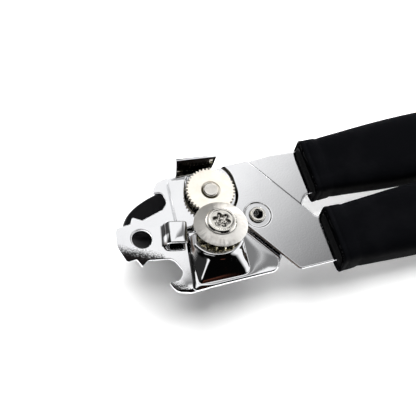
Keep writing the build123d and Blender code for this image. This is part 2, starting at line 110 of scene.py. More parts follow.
def sweep_slot():
    """The bushing's way through the upper sheet as the handles open."""
    keep = SHAFT.length - SWEEP
    bearing = math.degrees(math.atan2(SHAFT.y, SHAFT.x))
    opening = joints["handle_hinge"]["range_deg"][1]
    slot_right = SHAFT.length * math.cos(math.radians(bearing - opening)) + SWEEP
    slot_start = math.degrees(math.acos(slot_right / keep))
    corners = [(slot_right, 25.2, 0.4)] + arc_corners(0, 0, keep, slot_start, bearing - 1.5, 14)
    corners += arc_corners(SHAFT.x, SHAFT.y, SWEEP, bearing - 184, bearing - 318, 14)
    return corners + [(SHAFT.x - SWEEP, SHAFT.y + 1.0, 0.3), (SHAFT.x - SWEEP, 25.6, 0.4)]


UPPER_OUTLINE = filled_in(UPPER_OUTLINE, "sweep slot", sweep_slot())
notch = arc_corners(CUTTER.x, CUTTER.y, GEAR_ROOM, 20, 148, 26)
LOWER_OUTLINE = filled_in(LOWER_OUTLINE, "cutter notch", notch)

# ------------------------------------------------------------ camera
LOOK_AT = Vector((-18.7, 7.8, 4.2)) * MM
TOWARD_VIEWER = Vector((-0.2654, -0.3873, 0.8829)).normalized()
VIEW_UP = Vector((0.2198, 0.8673, 0.4465)).normalized()
VIEW_DISTANCE = 0.5
camera_data = bpy.data.cameras.new("camera")
camera_data.lens = 108.17
camera_data.sensor_width = 36.0
camera_data.clip_start = 0.01
camera = bpy.data.objects.new("camera", camera_data)
right = VIEW_UP.cross(TOWARD_VIEWER).normalized()
up = TOWARD_VIEWER.cross(right)
rotation = Matrix((right, up, TOWARD_VIEWER)).transposed().to_4x4()
camera.matrix_world = Matrix.Translation(LOOK_AT + TOWARD_VIEWER * VIEW_DISTANCE) @ rotation
bpy.context.scene.collection.objects.link(camera)
bpy.context.scene.camera = camera


# ------------------------------------------------------------ material helpers
class Shader:
    """A Principled material with short calls for its node tree."""

    def __init__(self, name):
        self.material = bpy.data.materials.new(name)
        self.material.use_nodes = True
        self.tree = self.material.node_tree
        self.bsdf = self.tree.nodes["Principled BSDF"]
        self.place = self.node("ShaderNodeTexCoord").outputs["Object"]

    def node(self, kind, **sockets):
        made = self.tree.nodes.new(kind)
        for key, value in sockets.items():
            self.put(made.inputs[key.replace("_", " ")], value)
        return made

    def put(self, socket, value):
        if isinstance(value, bpy.types.NodeSocket):
            self.tree.links.new(value, socket)
        else:
            socket.default_value = value

    def split(self, vector):
        return self.node("ShaderNodeSeparateXYZ", Vector=vector).outputs

    def facing(self):
        """The surface normal's x, y and z."""
        return self.split(self.node("ShaderNodeNewGeometry").outputs["Normal"])

    def math(self, operation, first, second=0.0):
        made = self.tree.nodes.new("ShaderNodeMath")
        made.operation = operation
        self.put(made.inputs[0], first)
        self.put(made.inputs[1], second)
        return made.outputs[0]

    def add(self, first, second):
        return self.math("ADD", first, second)

    def both(self, *values):
        """The product of values: full only where every one of them is."""
        product = values[0]
        for value in values[1:]:
            product = self.math("MULTIPLY", product, value)
        return product

    def either(self, *values):
        """The largest of values: full where any of them is."""
        largest = values[0]
        for value in values[1:]:
            largest = self.math("MAXIMUM", largest, value)
        return largest

    def off(self, value, middle):
        """How far a value is from the middle."""
        return self.math("ABSOLUTE", self.math("SUBTRACT", value, middle))

    def vector(self, operation, first, second=(0, 0, 0), scale=None):
        made = self.tree.nodes.new("ShaderNodeVectorMath")
        made.operation = operation
        self.put(made.inputs[0], first)
        if scale is None:
            self.put(made.inputs[1], second)
        else:
            self.put(made.inputs[3], scale)
        return made.outputs["Value"] if operation in ("DOT_PRODUCT", "LENGTH") else made.outputs[0]

    def past(self, point, direction):
        """Distance past a point along a direction."""
        return self.vector("DOT_PRODUCT", self.vector("SUBTRACT", self.place, point), direction)

    def noise(self, scale, detail=3.0, roughness=0.55, vector=None):
        made = self.tree.nodes.new("ShaderNodeTexNoise")
        self.put(made.inputs["Vector"], self.place if vector is None else vector)
        made.inputs["Scale"].default_value = scale
        made.inputs["Detail"].default_value = detail
        made.inputs["Roughness"].default_value = roughness
        return made.outputs[0]

    def span(self, value, low, high, to_low, to_high):
        """A smooth change from one number to another as the value goes from low to high."""
        made = self.tree.nodes.new("ShaderNodeMapRange")
        made.interpolation_type = "SMOOTHSTEP"
        self.put(made.inputs[0], value)
        for index, number in enumerate((low, high, to_low, to_high), 1):
            made.inputs[index].default_value = number
        return made.outputs[0]

    def rise(self, value, low, high):
        return self.span(value, low, high, 0.0, 1.0)

    def fall(self, value, low, high):
        return self.span(value, low, high, 1.0, 0.0)

    def blend(self, factor, first, second):
        made = self.tree.nodes.new("ShaderNodeMix")
        made.data_type = "RGBA"
        self.put(made.inputs[0], factor)
        for socket, value in ((made.inputs[6], first), (made.inputs[7], second)):
            self.put(socket, (*value, 1) if isinstance(value, tuple) else value)
        return made.outputs[2]

    def stretched(self, scales, turn):
        made = self.tree.nodes.new("ShaderNodeMapping")
        self.put(made.inputs["Vector"], self.place)
        made.inputs["Rotation"].default_value = (0, 0, math.radians(turn))
        made.inputs["Scale"].default_value = scales
        return made.outputs[0]

    def bump(self, height, distance, strength=1.0, normal=None):
        made = self.tree.nodes.new("ShaderNodeBump")
        made.inputs["Strength"].default_value = strength
        made.inputs["Distance"].default_value = distance
        self.put(made.inputs["Height"], height)
        if normal is not None:
            self.put(made.inputs["Normal"], normal)
        return made.outputs[0]

    def finish(self, color, metallic, roughness, normal=None, **extra):
        self.put(self.bsdf.inputs["Base Color"], (*color, 1) if isinstance(color, tuple) else color)
        self.put(self.bsdf.inputs["Metallic"], metallic)
        self.put(self.bsdf.inputs["Roughness"], roughness)
        if normal is not None:
            self.put(self.bsdf.inputs["Normal"], normal)
        for key, value in extra.items():
            self.put(self.bsdf.inputs[key.replace("_", " ")], value)
        return self.material


def about_axis(s, centre, axis):
    """Distance from an axis, and height along it from a point on it."""
    offset = s.vector("SUBTRACT", s.place, tuple(value * MM for value in centre))
    height = s.vector("DOT_PRODUCT", offset, tuple(axis))
    flat = s.vector("SUBTRACT", offset, s.vector("SCALE", tuple(axis), scale=height))
    return s.vector("LENGTH", flat), height


def turned_rings(s, centre, axis, scale):
    """Fine concentric tool marks round an axis: a noise of the distance from it."""
    rings = s.tree.nodes.new("ShaderNodeTexNoise")
    rings.noise_dimensions = "1D"
    s.put(rings.inputs["W"], about_axis(s, centre, axis)[0])
    rings.inputs["Scale"].default_value = scale
    rings.inputs["Detail"].default_value = 3.0
    return rings.outputs[0]


# ------------------------------------------------------------ materials, whose masks are in metres
Z_AXIS = (0, 0, 1)
# Near-black of the plate's painted shade and dark reflections
PAINTED_SHADE_BLACK = (0.012, 0.010, 0.010)
# Brownish grey painted on the tent's left face for its reflection
PAINTED_BROWN_REFLECTION = (0.16, 0.115, 0.095)
# Near-black painted shade in the stud's and rivet's hollows
RECESS_SHADE = (0.020, 0.015, 0.009)
# Painted shade in the feed wheel's groove
GROOVE_SHADE = (0.05, 0.042, 0.022)
# Darker steel for the cutter disc's painted shade
DISC_SHADE_STEEL = (0.40, 0.39, 0.36)


def flange_face_shade(s, place, facing):
    """Painted shade on the rim flange's inner face, lighter along a line and in a patch at its end to stand
    in for highlights.
    """
    x, y, z = place
    # The line and the patch ease the painted shade where highlights show
    line = s.off(s.add(z, s.both(x, 0.15)), 0.00345)
    patch = s.either(s.off(x, -0.0126), s.both(s.off(z, 0.0100), 0.45))
    return s.both(
        s.rise(y, 0.0236, 0.0240), s.rise(z, 0.0043, 0.0048), s.fall(facing[1], -0.75, -0.45),
        s.span(line, 0.00012, 0.00032, 0.25, 1.0), s.span(patch, 0.0004, 0.0008, 0.1, 1.0),
        s.span(s.noise(700, 3, 0.6), 0.62, 0.72, 1.0, 0.7),
    )


def edge_dark_reflection(s, place, facing, speckle):
    """Painted dark reflection, speckled, along the nose's lower edge and on the hook's tip, on the top face
    only.
    """
    x, y, _ = place
    grain = s.math("SUBTRACT", speckle, 0.5)
    nose = s.add(s.add(y, s.both(s.add(x, 0.055), 0.5)), s.both(grain, 0.009))
    nose = s.both(s.fall(nose, -0.0026, 0.0016), s.fall(x, -0.0425, -0.0405), s.rise(y, -0.0125, -0.0115))
    hook = s.add(s.past((-0.043, -0.018, 0), (0.66, 0.75, 0)), s.both(grain, 0.007))
    hook = s.both(
        s.span(hook, -0.0004, 0.0022, 0.95, 0.0),
        s.fall(x, -0.0345, -0.0335), s.fall(y, -0.0185, -0.0175),
    )
    return s.both(s.either(nose, hook), s.rise(facing[2], 0.55, 0.85))


def gap_shadow_line(s, place):
    """A painted shadow line on the upper sheet along the lower sheet's edge."""
    across = s.off(s.past((0.0039, 0.0245, 0), (0.85, 0.528, 0)), 0.0014)
    return s.both(
        s.span(across, 0.0002, 0.0004, 0.8, 0.0),
        s.fall(place[2], 0.0016, 0.0018), s.rise(place[0], 0.0035, 0.0100),
    )


def left_facing_shade(s, place, facing, speckle):
    """Painted shade on the folds that face left: the bracket's, the bridge's, the dish's and the diagonal."""
    x, y, z = place
    head = s.either(s.fall(x, -0.0035, -0.0030), s.fall(y, -0.0030, -0.0020))
    tent_left_out = s.either(s.fall(z, 0.0025, 0.0028), s.rise(y, 0.0, 0.001), s.rise(x, -0.0060, -0.0050))
    lip_left_out = s.either(s.fall(y, 0.0050, 0.0060), s.rise(x, -0.028, -0.026))
    return s.both(
        s.span(facing[0], -0.5, -0.2, 0.92, 0.0), head, s.rise(z, 0.0016, 0.0018),
        tent_left_out, lip_left_out, s.span(speckle, 0.60, 0.70, 1.0, 0.75),
    )


def chrome_plate():
    """Bright nickel-chrome plate: a faintly wavy pressed sheet with polish haze, hairlines, and painted shade
    and dark reflections.
    """
    s = Shader("chrome_plate")
    smudge = s.rise(s.noise(42, 4, 0.6), 0.45, 0.72)
    hairline = s.noise(900, 2, 0.5, s.stretched((1.0, 0.02, 1.0), 24))
    hairs = s.rise(hairline, 0.62, 0.70)
    rough = s.add(s.add(s.both(smudge, 0.05), 0.035), s.both(hairs, 0.05))
    waves = s.bump(s.noise(55, 1, 0.4), 0.00004, 0.55)
    peel = s.bump(s.noise(1500, 2, 0.5), 0.000007, 0.5, waves)
    normal = s.bump(hairs, 0.0000012, 0.4, peel)
    place, facing, speckle = s.split(s.place), s.facing(), s.noise(1900, 3, 0.7)
    # Painted shade and dark reflections that darken the plate's colour
    painted_shade = s.either(
        flange_face_shade(s, place, facing), edge_dark_reflection(s, place, facing, speckle),
        gap_shadow_line(s, place), left_facing_shade(s, place, facing, speckle),
    )
    # Painted reflection: the tent's left face turns brownish grey and less metallic
    tent_left = s.both(
        s.rise(place[2], 0.0026, 0.0034), s.fall(facing[0], -0.9, -0.6), s.fall(place[1], -0.003, -0.0015),
    )
    color = s.blend(smudge, (0.90, 0.905, 0.92), (0.86, 0.865, 0.885))
    color = s.blend(tent_left, s.blend(painted_shade, color, PAINTED_SHADE_BLACK), PAINTED_BROWN_REFLECTION)
    metallic = s.math("SUBTRACT", 1.0, s.both(tent_left, 0.75))
    return s.finish(color, metallic, rough, normal)


def bright_steel():
    """Polished turned steel of the rivet, stud and shaft, with painted shade in the stud's socket, on its
    head's side, in the rivet's bore and on the rivet head's side.
    """
    s = Shader("bright_steel")
    cloud = s.noise(260, 3, 0.6)
    rough = s.span(cloud, 0.3, 0.75, 0.10, 0.24)
    normal = s.bump(s.noise(2600, 2, 0.5), 0.000004, 0.6)
    color = s.blend(cloud, (0.90, 0.88, 0.83), (0.80, 0.77, 0.71))
    speckle = s.rise(s.noise(1500, 3, 0.7), 0.40, 0.56)
    radius, height = about_axis(s, CUTTER, CUTTER_AXIS)
    # Painted shade in the star socket and on the side of the stud's head
    socket = s.both(s.fall(radius, 0.0036, 0.0040), s.fall(height, 0.0069, 0.0072), speckle, 0.95)
    under_head = s.both(
        s.rise(radius, 0.0060, 0.0062), s.fall(radius, 0.0070, 0.0072), s.fall(height, 0.0064, 0.0067), 0.95,
    )
    stud = s.both(s.either(socket, under_head), s.rise(height, 0.0050, 0.0054))
    radius, height = about_axis(s, (0, 0, 0), Z_AXIS)
    # Painted shade in the rivet's bore and on its head's side
    rivet_bore = s.span(radius, 0.00188, 0.00196, 0.93, 0.0)
    rivet_wall = s.both(
        s.span(radius, 0.0030, 0.0032, 0.0, 0.93), s.fall(radius, 0.0034, 0.0036),
        s.rise(height, 0.0036, 0.0038), s.fall(height, 0.0045, 0.0047),
    )
    recess_shade = s.either(stud, rivet_bore, rivet_wall)
    return s.finish(s.blend(recess_shade, color, RECESS_SHADE), 1.0, rough, normal)


def spring_steel():
    """Plain grey spring steel of the crank's hidden parts."""
    s = Shader("spring_steel")
    cloud = s.noise(180, 4, 0.6)
    rough = s.span(cloud, 0.3, 0.75, 0.28, 0.5)
    normal = s.bump(s.noise(1800, 3, 0.6), 0.00001, 0.5)
    return s.finish(s.blend(cloud, (0.46, 0.46, 0.47), (0.33, 0.32, 0.32)), 1.0, rough, normal)


def gear_steel():
    """Stamped gear with an olive-gold passivated plating, near-black in patches as painted shade, and bright
    patches of wear that also stand in for highlights.
    """
    s = Shader("gear_steel")
    cloud = s.noise(420, 4, 0.65)
    # Patches of wear that also stand in for highlights, and near-black painted shade in the plating
    wear_and_glints = s.rise(s.noise(900, 3, 0.6), 0.5, 0.7)
    plating_and_shade = s.blend(s.rise(cloud, 0.4, 0.6), (0.34, 0.30, 0.17), (0.04, 0.036, 0.024))
    rough = s.span(cloud, 0.3, 0.8, 0.16, 0.34)
    normal = s.bump(s.noise(2200, 3, 0.6), 0.000012, 0.6)
    return s.finish(s.blend(wear_and_glints, plating_and_shade, (0.80, 0.77, 0.66)), 1.0, rough, normal)


def feed_steel():
    """Satin hardened feed wheel, slightly warm, with fine turning marks and painted shade in the groove round
    its shaft.
    """
    s = Shader("feed_steel")
    centre = (SHAFT.x, SHAFT.y, 0)
    rings = turned_rings(s, centre, Z_AXIS, 5200)
    cloud = s.noise(240, 4, 0.6)
    color = s.blend(s.rise(cloud, 0.35, 0.7), (0.93, 0.89, 0.81), (0.88, 0.82, 0.72))
    radius, height = about_axis(s, centre, Z_AXIS)
    # Painted shade in the groove round the shaft, strongest on its lower-left side
    lower_left = s.span(s.vector("DOT_PRODUCT", s.place, (-0.75, -0.66, 0)), 0.0015, 0.0050, 0.25, 1.0)
    groove = s.both(
        s.rise(radius, 0.0028, 0.0031), s.fall(radius, 0.0036, 0.0040), lower_left,
        s.rise(height, 0.0078, 0.0080),
    )
    color = s.blend(groove, color, GROOVE_SHADE)
    rough = s.add(s.span(cloud, 0.3, 0.8, 0.30, 0.40), s.both(rings, 0.06))
    normal = s.bump(s.noise(3000, 2, 0.6), 0.000008, 0.5, s.bump(rings, 0.000010, 0.5))
    return s.finish(color, 0.8, rough, normal)


def cutter_steel():
    """Satin ground cutter disc with circular grinding marks, and painted shade that darkens it towards the
    feed wheel.
    """
    s = Shader("cutter_steel")
    rings = turned_rings(s, CUTTER, CUTTER_AXIS, 7000)
    cloud = s.noise(200, 4, 0.6)
    color = s.blend(s.rise(cloud, 0.35, 0.7), (0.86, 0.84, 0.80), (0.76, 0.73, 0.69))
    # Painted shade: darker towards the feed wheel
    color = s.blend(s.span(s.split(s.place)[1], -0.010, 0.005, 0.0, 0.6), color, DISC_SHADE_STEEL)
    rough = s.add(s.span(cloud, 0.3, 0.8, 0.32, 0.42), s.both(rings, 0.08))
    normal = s.bump(s.noise(2600, 3, 0.6), 0.000006, 0.5, s.bump(rings, 0.0000025, 0.5))
    return s.finish(color, 0.9, rough, normal)


def soft_grip():
    """Soft-touch black moulding: a fine matt grain with a faint sheen and rubbed patches."""
    s = Shader("soft_grip")
    grain = s.noise(4200, 3, 0.6)
    handled = s.rise(s.noise(70, 4, 0.6), 0.42, 0.68)
    color = s.blend(handled, (0.0012, 0.0013, 0.0017), (0.0021, 0.0022, 0.0027))
    rough = s.add(s.span(handled, 0.0, 1.0, 0.52, 0.62), s.both(grain, 0.06))
    normal = s.bump(s.noise(160, 2, 0.5), 0.00012, 0.25, s.bump(grain, 0.00002, 0.45))
    return s.finish(color, 0.0, rough, normal, Specular_IOR_Level=0.012)


def hard_plastic():
    """Matt black plastic of the grips' rigid cores and the knob's cap."""
    s = Shader("hard_plastic")
    grain = s.noise(2400, 3, 0.6)
    color = s.blend(s.noise(120, 3, 0.5), (0.0007, 0.0007, 0.0009), (0.0018, 0.0018, 0.0022))
    rough = s.span(grain, 0.3, 0.7, 0.40, 0.55)
    return s.finish(color, 0.0, rough, s.bump(grain, 0.00004, 0.5), Specular_IOR_Level=0.01)


def knob_plastic():
    """Satin black plastic of the thumb knob, a little shinier where it is handled."""
    s = Shader("knob_plastic")
    grain = s.noise(3000, 2, 0.5)
    handled = s.rise(s.noise(90, 4, 0.6), 0.42, 0.68)
    color = s.blend(handled, (0.0022, 0.0022, 0.0026), (0.004, 0.004, 0.0046))
    rough = s.add(s.span(handled, 0.0, 1.0, 0.30, 0.40), s.both(grain, 0.06))
    return s.finish(color, 0.0, rough, s.bump(grain, 0.000012, 0.4), Specular_IOR_Level=0.06)


MAKERS = (chrome_plate, bright_steel, spring_steel, gear_steel, feed_steel, cutter_steel, soft_grip,
          hard_plastic, knob_plastic)
MATERIALS = {maker.__name__: maker() for maker in MAKERS}
SLOTS = {part["node"]: part["material_slot"] for part in record["subparts"]}


# ------------------------------------------------------------ mesh helpers (all in millimetres)
def piece(name, mesh_data, body, slot_name, *replaced):
    """Turns a bmesh in millimetres into a named piece in the frame."""
    bmesh.ops.remove_doubles(mesh_data, verts=mesh_data.verts, dist=0.0005)
    bmesh.ops.recalc_face_normals(mesh_data, faces=mesh_data.faces)
    bmesh.ops.scale(mesh_data, vec=(MM, MM, MM), verts=mesh_data.verts)
    mesh = bpy.data.meshes.new(name)
    mesh_data.to_mesh(mesh)
    mesh_data.free()
    mesh.shade_smooth()
    made = bpy.data.objects.new(name, mesh)
    bpy.context.scene.collection.objects.link(made)
    mesh.materials.append(MATERIALS[slot_name])
    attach(made, body)
    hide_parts(*replaced)


def skin(mesh_data, loops, start="open", end="open", around=False):
    """Faces between closed loops of equal length. An end can be closed to a point, and around
    joins the last loop to the first."""
    rows = [[mesh_data.verts.new(point) for point in loop] for loop in loops]
    pairs = list(zip(rows, rows[1:])) + ([(rows[-1], rows[0])] if around else [])
    for first, second in pairs:
        count = len(first)
        for i in range(count):
            j = (i + 1) % count
            mesh_data.faces.new((first[i], first[j], second[j], second[i]))
    for row, kind in ((rows[0], start), (rows[-1], end)):
        if kind == "closed":
            centre = sum((v.co for v in row), Vector()) / len(row)
            tip = mesh_data.verts.new(centre)
            for i, vertex in enumerate(row):
                mesh_data.faces.new((vertex, row[(i + 1) % len(row)], tip))


def rounded(corners, step=0.6):
    """Even points round a closed outline whose corners carry fillet radii."""
    corner_points = []
    for i, (x, y, radius) in enumerate(corners):
        corner = Vector((x, y))
        before = (Vector(corners[i - 1][:2]) - corner).normalized()
        after = (Vector(corners[(i + 1) % len(corners)][:2]) - corner).normalized()
        half = math.acos(max(-1.0, min(1.0, before.dot(after)))) / 2
        reach = radius / math.tan(half)
        centre = corner + (before + after).normalized() * (radius / math.sin(half))
        start, end = corner + before * reach - centre, corner + after * reach - centre
        turn = math.atan2(start.x * end.y - start.y * end.x, start.dot(end))
        count = max(3, int(abs(turn) * radius / 0.25) + 1)
        for k in range(count + 1):
            angle = turn * k / count
            c, s = math.cos(angle), math.sin(angle)
            corner_points.append(centre + Vector((c * start.x - s * start.y, s * start.x + c * start.y)))
    points = []
    for point, following in zip(corner_points, corner_points[1:] + corner_points[:1]):
        parts = max(1, round((following - point).length / step))
        points += [point.lerp(following, k / parts) for k in range(parts)]
    area = sum(a.x * b.y - b.x * a.y for a, b in zip(points, points[1:] + points[:1]))
    return points if area > 0 else points[::-1]


def turns(count):
    """Evenly spaced angles round a circle."""
    return [2 * math.pi * k / count for k in range(count)]


def circle(x, y, radius, count=96):
    return [Vector((x + radius * math.cos(a), y + radius * math.sin(a))) for a in turns(count)]


def inset(contour, distance):
    """The contour moved into the metal on its left, further on the edges that face right."""
    moved = []
    for i, point in enumerate(contour):
        along = (contour[(i + 1) % len(contour)] - contour[i - 1]).normalized()
        share = 1 + 0.75 * max(0.0, along.y) - 0.45 * max(0.0, -along.y)
        moved.append(point + Vector((-along.y, along.x)) * distance * share)
    return moved


def within(point, contour):
    """True if a point lies inside a closed contour."""
    odd = False
    for a, b in zip(contour, contour[1:] + contour[:1]):
        if (a.y > point.y) != (b.y > point.y):
            if point.x < a.x + (point.y - a.y) * (b.x - a.x) / (b.y - a.y):
                odd = not odd
    return odd


def in_sheet(point, bounds):
    """True if the point is inside the first contour and outside the others."""
    return within(point, bounds[0]) and not any(within(point, bound) for bound in bounds[1:])


def formed_sheet(mesh_data, outer, holes, low, high, lift, detail):
    """A pressed sheet with rounded edges all round and in each hole, formed by a height."""
    arc = [math.radians(angle) for angle in (0, 22.5, 45, 67.5, 90)]
    fill_inset = EDGE + EDGE_MARGIN
    profile = [(fill_inset, low)]
    profile += [(EDGE * (1 - math.cos(a)), low + EDGE * (1 - math.sin(a))) for a in reversed(arc)]
    profile += [(EDGE * (1 - math.cos(a)), high - EDGE * (1 - math.sin(a))) for a in arc]
    profile.append((fill_inset, high))
    bounds = []
    for contour in [outer] + [list(reversed(hole)) for hole in holes]:
        loops = []
        for distance, z in profile:
            moved = inset(contour, distance)
            loops.append([Vector((p.x, p.y, z + lift(p.x, p.y))) for p in moved])
        skin(mesh_data, loops)
        bounds.append(inset(contour, fill_inset))
    points, edges = [], []
    for bound in bounds:
        first = len(points)
        points += bound
        edges += [(first + k, first + (k + 1) % len(bound)) for k in range(len(bound))]
    corners = points[:]
    for spot in detail:
        spot = Vector(spot)
        if in_sheet(spot, bounds) and min((spot - corner).length for corner in corners) > 0.25:
            points.append(spot)
    made = geometry.delaunay_2d_cdt(points, edges, [], 2, 0.0001)
    for z in (low, high):
        vertices = [mesh_data.verts.new((p.x, p.y, z + lift(p.x, p.y))) for p in made[0]]
        for face in made[2]:
            middle = sum((made[0][k] for k in face), Vector((0, 0))) / len(face)
            if in_sheet(middle, bounds):
                mesh_data.faces.new([vertices[k] for k in face])


def ease(value, low, high):
    """A smooth rise from 0 to 1."""
    t = max(0.0, min(1.0, (value - low) / (high - low)))
    return t * t * (3 - 2 * t)


def bar(mesh_data, stations, edge):
    """A bent strip of sheet through stations of (left point, right point, half thickness vector)."""
    loops = []
    for left, right, half in stations:
        left, right, half = Vector(left), Vector(right), Vector(half)
        across = (right - left).normalized()
        loop = []
        for corner, sx, sn, start in ((left, 1, 1, 180), (right, -1, 1, 90), (right, -1, -1, 0),
                                      (left, 1, -1, -90)):
            base = corner + across * sx * edge + half * sn * (1 - edge / half.length)
            for k in range(4):
                a = math.radians(start - 30 * k)
                loop.append(base + across * math.cos(a) * edge + half.normalized() * math.sin(a) * edge)
        loops.append(loop)
    skin(mesh_data, loops, "closed", "closed")


def turned(mesh_data, profile, count=96, centre=(0, 0, 0)):
    """A ring turned about a vertical axis from radius, height pairs that close on themselves."""
    axis = Vector(Z_AXIS)
    first = axis.orthogonal().normalized()
    second = axis.cross(first)
    loops = []
    for radius, height in profile:
        base = Vector(centre) + axis * height
        loops.append([
            base + first * math.cos(a) * radius + second * math.sin(a) * radius for a in turns(count)
        ])
    skin(mesh_data, loops, around=True)


def superellipse(half_width, half_height, power, count):
    points = []
    for a in turns(count):
        c, s = math.cos(a), math.sin(a)
        points.append(Vector((
            math.copysign(abs(c) ** (2 / power), c) * half_width,
            math.copysign(abs(s) ** (2 / power), s) * half_height,
        )))
    return points


# ------------------------------------------------------------ upper handle plate with its nose and bridge
# Edges that roll down: an open line along each, how far the roll reaches, and how deep it goes
NOSE_ROLL = (((-58.6, 4), (-58.0, 0), (-56.6, -4.6), (-54.5, -5.7), (-47, -6.6)), 4.8, 0.45)
HOOK_ROLL = (((-43, -19.5), (-41, -22.9), (-37, -24.3), (-30, -24.4)), 2.8, 0.75)


def line_distance(x, y, corners):
    """Distance from a point to an open run of straight lines."""
    point, best = Vector((x, y)), 1000.0
    corners = [Vector(corner) for corner in corners]
    for a, b in zip(corners, corners[1:]):
        along = b - a
        t = max(0.0, min(1.0, (point - a).dot(along) / along.length_squared))
        best = min(best, (point - a - along * t).length)
    return best


def upper_form(x, y):
    """The nose's lower edges and the hook's tip roll down."""
    drop = 0.0
    for edge, reach, depth in (NOSE_ROLL, HOOK_ROLL):
        near = max(0.0, 1 - line_distance(x, y, edge) / reach)
        drop += depth * near * near
    strength = ease(-x, 45, 52) if x < -42 else 1.0
    return -drop * strength * (1 - ease(y, -2.5, 3.5))


bm = bmesh.new()
detail = [(x * 0.6 - 59, y * 0.6 - 25) for x in range(48) for y in range(52)]
detail = [p for p in detail if upper_form(*p) < 0]
holes = [circle(*HANG_HOLE, 72), circle(0, 0, RIVET_TUBE, 48), circle(CUTTER.x, CUTTER.y, ACCESS_HOLE, 72)]
formed_sheet(bm, rounded(UPPER_OUTLINE), holes, 0.0, PLATE, upper_form, detail)
# The raised bridge: x and height of its middle line, and its slope in degrees
BRIDGE_PATH = [
    (-40.3, 0.80, 12), (-39.6, 1.1, 42), (-39.1, 1.9, 64), (-38.75, 3.1, 66), (-38.3, 4.1, 52),
    (-37.6, 4.85, 30), (-36.6, 5.2, 8), (-34.6, 5.25, 0), (-32.6, 5.2, -3), (-31.4, 5.05, -14),
    (-30.9, 4.85, -30), (-30.65, 4.6, -48),
]
BRIDGE_HALF = 0.68
bridge_turn = Matrix.Rotation(math.radians(-13), 3, "Z")
bridge_middle = Vector((-35.2, 0.55, 0))
stations = []
for x, z, slope in BRIDGE_PATH:
    a = math.radians(slope)
    ends = [bridge_middle + bridge_turn @ (Vector((x, y, z)) - bridge_middle) for y in (-4.3, 5.3)]
    half = bridge_turn @ Vector((-math.sin(a) * BRIDGE_HALF, 0, math.cos(a) * BRIDGE_HALF))
    stations.append((*ends, half))
bar(bm, stations, 0.62)
piece("upper_handle_sheet", bm, "upper_handle", "chrome_plate", "upper_handle_plate")


# ------------------------------------------------------------ lower handle plate with its rim flange
DISH = [(Vector((-15.4, 13.6)), 10.0), (Vector((-14.5, 18.0)), 9.2)]
DISH_DEPTH, DISH_SLOPE = 1.0, 1.2
DISH_MIDDLE = Vector((-15.0, 15.5))
COUNTERBORE_DEPTH = 0.45


def dish_distance(x, y):
    """Distance outside the dish's floor, whose outline is the hull of two circles."""
    (first, first_radius), (second, second_radius) = DISH
    point = Vector((x, y))
    return min(
        (point - first.lerp(second, t)).length - first_radius + (first_radius - second_radius) * t
        for t in [k / 10 for k in range(11)]
    )


def dish_ring(growth):
    """Points round the dish at a distance outside its floor, each found by halving."""
    ring = []
    for a in turns(180):
        direction = Vector((math.cos(a), math.sin(a)))
        low, high = 5.0, 18.0
        for _ in range(16):
            middle = (low + high) / 2
            if dish_distance(*(DISH_MIDDLE + direction * middle)) < growth:
                low = middle
            else:
                high = middle
        ring.append(DISH_MIDDLE + direction * low)
    return ring


def lower_form(x, y):
    """The pressed dish under the feed wheel and a counterbore round the pivot rivet."""
    slope = max(0.0, min(1.0, 1 - dish_distance(x, y) / DISH_SLOPE))
    depth = DISH_DEPTH * (0.4 * slope + 0.6 * slope * slope * (3 - 2 * slope))
    return -depth - COUNTERBORE_DEPTH * (1 - ease(math.hypot(x, y), 5.25, 5.75))


bm = bmesh.new()
detail = []
for growth in (-0.5, -0.15, 0.0, 0.15, 0.3, 0.5, 0.7, 0.9, 1.05, 1.2, 1.35, 1.8):
    detail += dish_ring(growth)
for radius in (4.9, 5.25, 5.37, 5.5, 5.62, 5.75, 6.1):
    detail += circle(0, 0, radius, 120)
holes = [circle(SHAFT.x, SHAFT.y, SHAFT_HOLE, 72), circle(0, 0, PIVOT_HOLE, 64)]
formed_sheet(bm, rounded(LOWER_OUTLINE), holes, LOWER_TOP - PLATE, LOWER_TOP, lower_form, detail)

# The rim flange: a bend, then a rise that widens and leans back, then a rounded top
FLANGE_LEFT, FLANGE_RIGHT, FLANGE_FOOT = -27.0, -11.7, 24.95
FLANGE_HALF, FLANGE_LEAN, FLANGE_HEIGHT = 0.65, 0.12, 8.85
bend = 1.3
base_z = LOWER_TOP - PLATE / 2
stations = []
for k in range(9):
    a = math.radians(90 * k / 8)
    y = FLANGE_FOOT - bend * (1 - math.sin(a))
    z = base_z + bend * (1 - math.cos(a))
    half = (0, -math.sin(a) * FLANGE_HALF, math.cos(a) * FLANGE_HALF)
    stations.append(((FLANGE_LEFT, y, z), (FLANGE_RIGHT, y, z), half))
for k in range(1, 12):
    t = k / 11
    z = base_z + bend + t * (FLANGE_HEIGHT - bend)
    left = Vector((FLANGE_LEFT, FLANGE_FOOT + 2.7 * t ** 1.2, z))
    right = Vector((FLANGE_RIGHT + 1.1 * t, FLANGE_FOOT + 0.7 * t ** 1.2, z))
    stations.append((left, right, (0, -FLANGE_HALF, FLANGE_LEAN)))
for rise, half_thick in ((0.12, 0.6), (0.22, 0.48), (0.25, 0.3)):
    lift = Vector((0, 0.25 * rise, rise))
    half = (0, -half_thick, FLANGE_LEAN * half_thick / FLANGE_HALF)
    stations.append((left + lift, right + lift, half))
bar(bm, stations, 0.22)

# The lip that closes the gap under the lower sheet's left edge
lip_top, lip_low = Vector((-30.95, 23.2)), Vector((-33.0, 3.2))
stations = []
for k in range(13):
    x, y = lip_top.lerp(lip_low, k / 12)
    stations.append(((x + 0.02, y, 2.25), (x + 1.2, y, 2.25), (0, 0, 0.66)))
bar(bm, stations, 0.15)
piece("lower_handle_sheet", bm, "lower_handle", "chrome_plate", "lower_handle_plate")


# ------------------------------------------------------------ formed cutter bracket
BRACKET_TOP = PLATE + 1.0
SEAT = -1.75                                  # the tent's seat, along the stud from the gear
TENT_RIM = (CUTTER.x - 0.8, CUTTER.y + 0.9, 11.7)
STUD_HOLE = 2.15


